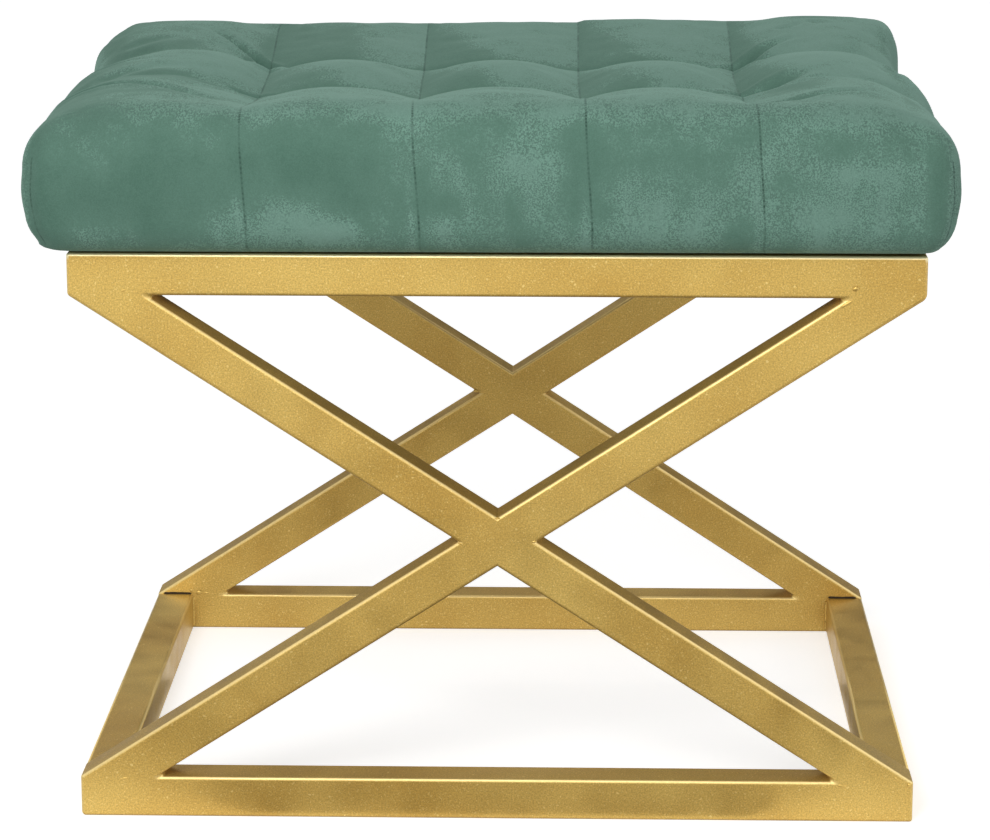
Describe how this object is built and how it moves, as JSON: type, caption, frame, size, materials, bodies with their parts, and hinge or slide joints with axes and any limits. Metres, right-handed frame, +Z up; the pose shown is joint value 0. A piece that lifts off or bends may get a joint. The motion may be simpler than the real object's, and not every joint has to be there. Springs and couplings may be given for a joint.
{
  "type": "x frame stool",
  "caption": "Upholstered stool on two welded X frames of gold square tube joined by side rails, with a deep biscuit-tufted green velvet seat.",
  "frame": {"origin": "on the floor, below the middle of the seat", "axes": "+Z up, +X along the seat's long side, -Y towards the front"},
  "size_m": [0.54, 0.46, 0.4354],
  "materials": {
    "gold_steel": "satin",
    "zinc_fastener": "satin",
    "dust_cloth": "matte",
    "plywood": "matte",
    "foam": "matte",
    "velvet": "matte",
    "twine": "matte"
  },
  "bodies": {
    "root": {"front_top_rail": "gold_steel", "front_top_rail_left_end_plate": "gold_steel", "front_top_rail_right_end_plate": "gold_steel", "front_bottom_rail": "gold_steel", "front_bottom_rail_left_end_plate": "gold_steel", "front_bottom_rail_right_end_plate": "gold_steel", "front_long_diagonal": "gold_steel", "front_upper_half_diagonal": "gold_steel", "front_lower_half_diagonal": "gold_steel", "rear_top_rail": "gold_steel", "rear_top_rail_left_end_plate": "gold_steel", "rear_top_rail_right_end_plate": "gold_steel", "rear_bottom_rail": "gold_steel", "rear_bottom_rail_left_end_plate": "gold_steel", "rear_bottom_rail_right_end_plate": "gold_steel", "rear_long_diagonal": "gold_steel", "rear_upper_half_diagonal": "gold_steel", "rear_lower_half_diagonal": "gold_steel", "left_top_side_rail": "gold_steel", "left_bottom_side_rail": "gold_steel", "right_top_side_rail": "gold_steel", "right_bottom_side_rail": "gold_steel", "front_left_tab": "gold_steel", "front_right_tab": "gold_steel", "rear_left_tab": "gold_steel", "rear_right_tab": "gold_steel", "front_left_screw": "zinc_fastener", "front_right_screw": "zinc_fastener", "rear_left_screw": "zinc_fastener", "rear_right_screw": "zinc_fastener", "front_left_washer": "zinc_fastener", "front_right_washer": "zinc_fastener", "rear_left_washer": "zinc_fastener", "rear_right_washer": "zinc_fastener", "dust_cover": "dust_cloth", "seat_board": "plywood", "foam_core": "foam", "velvet_cover": "velvet", "tuft_tie_1": "twine", "tuft_tie_2": "twine", "tuft_tie_3": "twine", "tuft_tie_4": "twine", "tuft_tie_5": "twine", "tuft_tie_6": "twine", "tuft_tie_7": "twine", "tuft_tie_8": "twine"}
  },
  "joints": []
}
